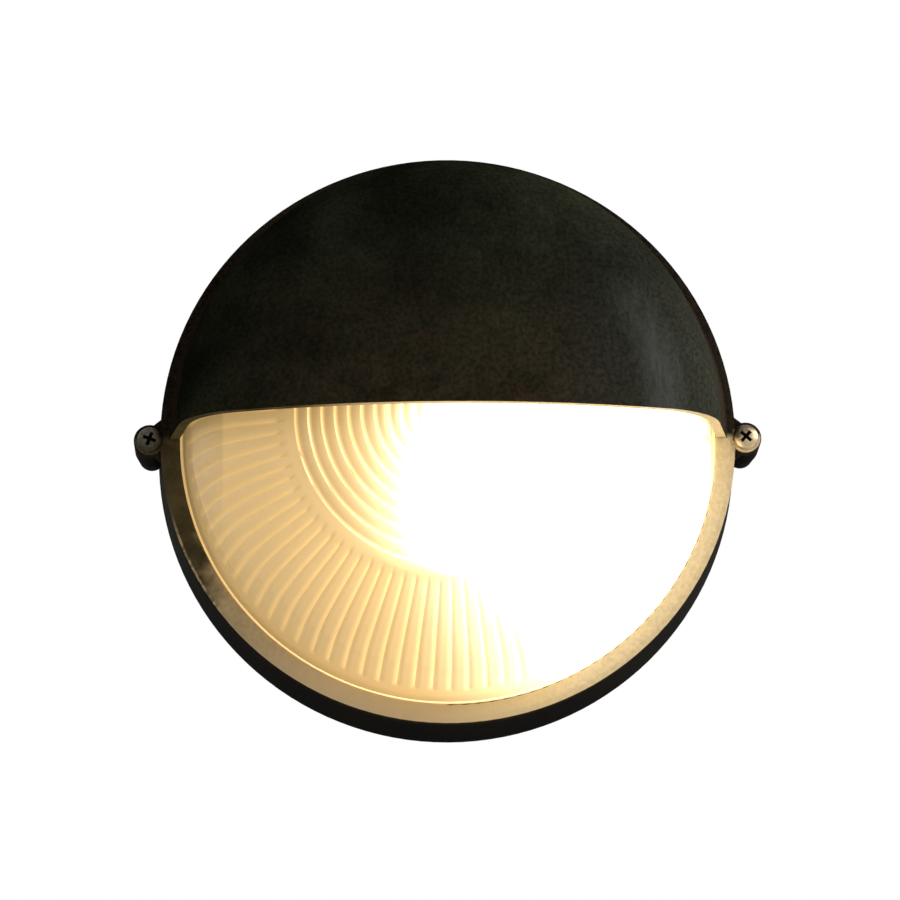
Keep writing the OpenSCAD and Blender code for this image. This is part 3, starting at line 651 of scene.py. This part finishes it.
def pan_screw(name, head_radius, head_height, shank_radius, shank_length, arm=0.62, steps=24):
    """A pan-head screw drawn upright, its head on zero: crowned head, cross recess and rolled thread."""
    pitch = 2 * shank_radius * pitch_share
    profile = [(head_radius * r, head_height * h) for r, h in head_shape]
    line = profile + [(0.98 * head_radius, 0), (shank_radius, 0)]
    rows = round(shank_length / (pitch / rows_in_pitch))
    line += [(shank_radius, -shank_length * i / rows) for i in range(1, rows + 1)]
    line += [(0.6 * shank_radius, -shank_length), (0, -shank_length)]
    piece = section(name, line)
    turned(piece, steps)
    sealed(piece)
    for v in piece.data.vertices:
        r = math.hypot(v.co.x, v.co.y)
        if v.co.z < -pitch and r > 0.8 * shank_radius:
            phase = (v.co.z / pitch - math.atan2(v.co.y, v.co.x) / (2 * math.pi)) % 1
            depth = 0.55 * pitch * (1 - abs(2 * phase - 1))
            depth *= eased(-v.co.z, pitch, 2 * pitch)
            v.co.x *= 1 - depth / r
            v.co.y *= 1 - depth / r
    deep = 0.62 * head_height
    for turn in (0, 90):
        bpy.ops.object.select_all(action="DESELECT")
        bpy.ops.mesh.primitive_cone_add(vertices=4, radius1=math.sqrt(0.5) * recess_floor,
                                        radius2=math.sqrt(0.5) * recess_top, depth=1,
                                        rotation=(0, 0, math.radians(45)))
        cutter = bpy.context.object
        bpy.ops.object.transform_apply(location=False, rotation=True, scale=False)
        cutter.scale = (2 * arm * head_radius, 0.3 * head_radius, 1.5 * deep)
        cutter.rotation_euler = (0, 0, math.radians(turn))
        cutter.location = (0, 0, head_height - 0.25 * deep)
        bpy.ops.object.transform_apply(location=True, rotation=True, scale=True)
        bpy.ops.object.select_all(action="DESELECT")
        piece.select_set(True)
        bpy.context.view_layer.objects.active = piece
        cut = piece.modifiers.new("recess", "BOOLEAN")
        cut.operation = "DIFFERENCE"
        cut.object = cutter
        bpy.ops.object.modifier_apply(modifier=cut.name)
        bpy.data.objects.remove(cutter)
    piece.data.materials.clear()
    piece.data.materials.append(None)
    piece.data.materials.append(None)
    # Faces sunk into the recess take the second slot, the painted recess shade.
    for face in piece.data.polygons:
        r = math.hypot(face.center.x, face.center.y)
        sunk = face.center.z > 0 and face.center.z < drape(profile, r) - 0.06 * head_height
        face.material_index = 1 if sunk and r < 0.8 * head_radius else 0
    bpy.ops.object.shade_smooth_by_angle(angle=math.radians(32))
    return piece


def set_screws(node_name, finish, places, *sizes):
    """The screws of one node, each turned a little, as one piece in place of the node."""
    made = []
    for place in places:
        screw = pan_screw(node_name + "_threaded", *sizes)
        screw.data.materials[0] = finish
        screw.data.materials[1] = recess_painted_shade
        stood(screw, out_of_wall @ place)
        made.append(screw)
    bpy.ops.object.select_all(action="DESELECT")
    for screw in made:
        screw.select_set(True)
    bpy.context.view_layer.objects.active = made[0]
    if len(made) > 1:
        bpy.ops.object.join()
    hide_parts(node_name)
    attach(made[0], "root")


def at(x, y, z, turn, tip=0):
    """A place in mm (right, up, out of the wall), turned about the screw's own axis."""
    return (Matrix.Translation((x * mm, y * mm, z * mm)) @ Matrix.Rotation(math.radians(tip), 4, "Y")
            @ Matrix.Rotation(math.radians(turn), 4, "Z"))


# The screws' cross recesses are near black: painted shade in the recess.
shade_black = (0.003, 0.0025, 0.002)
shade_brown = (0.012, 0.009, 0.007)
recess_painted_shade, tree, shader = paint("recess_painted_shade", 0.9, 0.1)
shade_grain = grain(tree, 2500, 2.0)
tree.links.new(blended(tree, shade_grain, shade_black, shade_brown), shader.inputs["Base Color"])

slots = dict.fromkeys(("cover_screw_left", "cover_screw_right", "reflector_screw", "bracket_screws",
                       "holder_screws", "block_screw"), "screw_zinc")
slots.update(dict.fromkeys(("clamp_screws", "earth_screw"), "contact_brass"))

film_dark = (0.06, 0.054, 0.038)
film_light = (0.11, 0.1, 0.072)
dulled, tree, shader = paint("screw_dulled", 0.55)
shader.inputs["Metallic"].default_value = 1.0
film = grain(tree, 700, 4.0)
dulling = blended(tree, between(tree, film, 0.35, 0.65, 0, 1), film_dark, film_light)
tree.links.new(dulling, shader.inputs["Base Color"])
relief(tree, shader, [(film, 0.05 * mm)])
cover_head = 5.15 * mm
cover_sizes = (cover_head, 3.2 * mm, 2.5 * mm, 24.6 * mm)
ear_x = -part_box("cover_screw_left")[0][0] - cover_head
ear_face = 42.6
set_screws("cover_screw_left", dulled, [at(-ear_x / mm, 0, ear_face, -21)], *cover_sizes)

shadow_brown = (0.14, 0.11, 0.07)
painted_lit_tan = (0.72, 0.56, 0.34)
screw_light_and_shade, tree, shader = paint("screw_painted_light_and_shade", 0.42)
shader.inputs["Metallic"].default_value = 1.0
film = grain(tree, 500, 4.0)
right, out, up, radius = spot(tree)
# Head tan low and to the right and shadow brown above: painted light and painted shade.
lower_right = worked(tree, "MULTIPLY", worked(tree, "SUBTRACT", right, ear_x), 0.5)
lower_right = worked(tree, "SUBTRACT", lower_right, up)
lower_right = worked(tree, "ADD", lower_right, between(tree, film, 0.3, 0.7, -2 * mm, 2 * mm))
painted_light_and_shade = between(tree, lower_right, -3 * mm, 4 * mm, 0, 1)
tree.links.new(blended(tree, painted_light_and_shade, shadow_brown, painted_lit_tan), shader.inputs["Base Color"])
relief(tree, shader, [(film, 0.05 * mm)])
set_screws("cover_screw_right", screw_light_and_shade, [at(ear_x / mm, 0, ear_face, -42)], *cover_sizes)

# Reflector: a shallow pan spun from sheet and stove enamelled white. It stands behind the
# bulb, on pillars of the base that its screw and the bracket's screws go into.
enamel_low = (0.68, 0.66, 0.6)
enamel_high = (0.76, 0.74, 0.68)
enamel, tree, shader = paint("reflector_enamel", 0.4)
flow = grain(tree, 60, 3.0)
tree.links.new(blended(tree, flow, enamel_low, enamel_high), shader.inputs["Base Color"])
relief(tree, shader, [(flow, 0.2 * mm)])
wear("reflector", enamel)

# Lampholder body: pressed porcelain, fired and glazed, which two screws hold to the
# bracket.
glaze_thick = (0.78, 0.75, 0.69)
glaze_thin = (0.85, 0.83, 0.78)
glaze, tree, shader = paint("porcelain_glaze", 0.18)
flow = grain(tree, 70, 3.0)
tree.links.new(blended(tree, flow, glaze_thick, glaze_thin), shader.inputs["Base Color"])
wear("lampholder_body", glaze)

# Brass: the holder's sprung contact and the two clamps, stamped from sheet, the strip's
# turned tubes and the earth point's washer. All are left plain and a little tarnished.
brass_tarnished = (0.5, 0.34, 0.13)
brass_clean = (0.75, 0.56, 0.25)
brass, tree, shader = paint("contact_brass", 0.32)
shader.inputs["Metallic"].default_value = 1.0
tarnish = grain(tree, 240, 4.0)
tree.links.new(blended(tree, tarnish, brass_tarnished, brass_clean), shader.inputs["Base Color"])
for node_name in ("lampholder_contact", "live_clamp", "neutral_clamp", "terminal_tubes", "earth_washer"):
    wear(node_name, brass)

# Lampholder shell: brass sheet rolled to the lamp thread, so that the same thread shows
# inside and out. It is held in the porcelain body.
lamp_pitch = 3.6 * mm
shell_outside = 14.2 * mm
shell_sheet = 0.4 * mm
shell_length = 27 * mm
shell_foot = -52 * mm
shell_rows = 60
roll = 0.5 * mm
lamp_height = 54 * mm
along_lamp = Matrix.Rotation(math.radians(90), 4, "Y")


def rolled(piece, low, high, deep):
    """Presses a helical lamp thread into the skin between two heights, by a depth inwards."""
    for v in piece.data.vertices:
        r = math.hypot(v.co.x, v.co.y)
        if low <= v.co.z <= high and r > 10 * mm:
            phase = v.co.z / lamp_pitch - math.atan2(v.co.y, v.co.x) / (2 * math.pi)
            wave = 0.5 - 0.5 * math.cos(2 * math.pi * phase)
            wave *= eased(v.co.z, low, low + lamp_pitch) * eased(high - v.co.z, 0, lamp_pitch)
            v.co.x *= 1 - deep * wave / r
            v.co.y *= 1 - deep * wave / r


shell_inside = shell_outside - shell_sheet
inner_line = [(shell_inside, shell_length * (1 - i / shell_rows)) for i in range(shell_rows + 1)]
outer_line = [(shell_outside, shell_length * i / shell_rows) for i in range(shell_rows + 1)]
shell = section("rolled_shell", inner_line + outer_line + inner_line[:1])
turned(shell, 48)
sealed(shell)
rolled(shell, 2 * mm, shell_length, roll)
bpy.ops.object.shade_smooth_by_angle(angle=math.radians(50))
shell.data.materials.append(brass)
stood(shell, out_of_wall @ Matrix.Translation((shell_foot, 0, lamp_height)) @ along_lamp)
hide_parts("lampholder_shell")
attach(shell, "root")

# Inner screws: pan heads with a cross recess, those of the reflector, the bracket, the
# holder and the strip in plated steel, those of the clamps and the earth point in brass.
m4_screw = (4 * mm, 2.4 * mm, 2 * mm)
set_screws("reflector_screw", zinc, [at(86, 0, 20.5, 30)], *m4_screw, 10 * mm)
set_screws("bracket_screws", zinc, [at(-83, 10, 22, 40), at(-83, -10, 22, -40)], *m4_screw, 11 * mm)
set_screws("holder_screws", zinc, [at(-69.5, 0, 65, 25, -90), at(-69.5, 0, 43, -25, -90)],
           3.6 * mm, 2.2 * mm, 2 * mm, 8 * mm)
set_screws("clamp_screws", brass, [at(-61.5, 13.5, 58, 40), at(-61.5, -13.5, 58, 40)],
           2.6 * mm, 1.8 * mm, 1.5 * mm, 2.5 * mm)
set_screws("block_screw", zinc, [at(-8, 6.75, 9.1, 20)], 2.2 * mm, 1.6 * mm, 1.25 * mm, 5.5 * mm)
set_screws("earth_screw", brass, [at(25, -34, 10, 15)], *m4_screw, 7 * mm)

# Bulb: a blown opal globe cemented into a plated screw cap, with a black glass bead
# and a solder point at its foot. It is screwed into the shell and lit.
bulb_low, bulb_high = (Vector(c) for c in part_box("bulb"))
globe_radius = bulb_high.z
globe_rows = 40
foot = 2.5 * mm
cap_foot = 5 * mm
cap_top = foot + 24 * mm
cap_rows = 54
neck_height = foot + 27 * mm
neck_radius = 14 * mm
cap_radius = 13 * mm
globe_middle = bulb_high.x - globe_radius - bulb_low.x
reach = math.hypot(neck_radius, globe_middle - neck_height)
tilt = math.asin(globe_radius / reach) - math.atan2(neck_radius, globe_middle - neck_height)
tangent = math.sqrt(reach ** 2 - globe_radius ** 2)
touch = Vector((neck_radius + tangent * math.sin(tilt), neck_height + tangent * math.cos(tilt)))
first_angle = math.atan2(touch.x, touch.y - globe_middle)
globe_angles = [first_angle * (1 - i / globe_rows) for i in range(globe_rows + 1)]
foot_line = [(0, 0), (3.4 * mm, 0), (4.6 * mm, 0.6 * mm), (5 * mm, 1.6 * mm), (5 * mm, foot)]
foot_line += [(7.5 * mm, foot + 0.5 * mm), (11 * mm, foot + 1 * mm)]
cap_line = [(cap_radius, cap_foot + (cap_top - cap_foot) * i / cap_rows) for i in range(cap_rows + 1)]
neck_line = [(13.6 * mm, cap_top + 0.4 * mm), (neck_radius, cap_top + 1 * mm), (neck_radius, neck_height)]
globe_line = [(globe_radius * math.sin(a), globe_middle + globe_radius * math.cos(a)) for a in globe_angles]
bulb = section("opal_bulb", foot_line + cap_line + neck_line + globe_line)
turned(bulb, 64)
sealed(bulb)
rolled(bulb, cap_foot, cap_top, 0.8 * mm)
bpy.ops.object.shade_smooth_by_angle(angle=math.radians(40))
opal_white = (0.95, 0.9, 0.82, 1)
bulb_strength = 4.2
opal, tree, shader = paint("bulb_opal", 0.3)
shader.inputs["Base Color"].default_value = opal_white
shader.inputs["Emission Color"].default_value = (*lit_colour, 1)
shader.inputs["Emission Strength"].default_value = bulb_strength
plate_dull = (0.5, 0.47, 0.4)
plate_bright = (0.68, 0.65, 0.58)
cap_plate, tree, shader = paint("bulb_cap_plate", 0.35)
shader.inputs["Metallic"].default_value = 1.0
film = grain(tree, 300, 4.0)
tree.links.new(blended(tree, film, plate_dull, plate_bright), shader.inputs["Base Color"])
bead_black = (0.01, 0.01, 0.012)
bead_grey = (0.03, 0.03, 0.034)
bead, tree, shader = paint("bulb_foot_bead", 0.2)
tree.links.new(blended(tree, grain(tree, 400, 2.0), bead_black, bead_grey), shader.inputs["Base Color"])
for finish in (opal, cap_plate, bead):
    bulb.data.materials.append(finish)
for face in bulb.data.polygons:
    height, r = face.center.z, math.hypot(face.center.x, face.center.y)
    if height < foot + 1.2 * mm and r > 5 * mm:
        face.material_index = 2
    elif height < neck_height:
        face.material_index = 1
stood(bulb, out_of_wall @ Matrix.Translation((bulb_low.x, 0, lamp_height)) @ along_lamp)
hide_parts("bulb")
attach(bulb, "root")

# Terminal strip: white plastic, moulded round places for three tubes, and held to the
# base by one screw through its middle.
plastic_flow = (0.72, 0.71, 0.66)
plastic_white = (0.8, 0.79, 0.75)
strip, tree, shader = paint("strip_plastic", 0.55)
flow = grain(tree, 300, 2.0)
tree.links.new(blended(tree, flow, plastic_flow, plastic_white), shader.inputs["Base Color"])
wear("terminal_block", strip)

# Leads: short wires in extruded insulation, brown for live and blue for neutral, clamped
# in the strip at one end and in the holder's clamps at the other.
brown = ((0.12, 0.045, 0.015), (0.17, 0.07, 0.025))
blue = ((0.02, 0.07, 0.28), (0.035, 0.11, 0.36))
for node_name, (dark, light) in (("live_lead", brown), ("neutral_lead", blue)):
    sleeve, tree, shader = paint(node_name + "_sleeve", 0.5)
    tree.links.new(blended(tree, grain(tree, 500, 2.0), dark, light), shader.inputs["Base Color"])
    wear(node_name, sleeve)
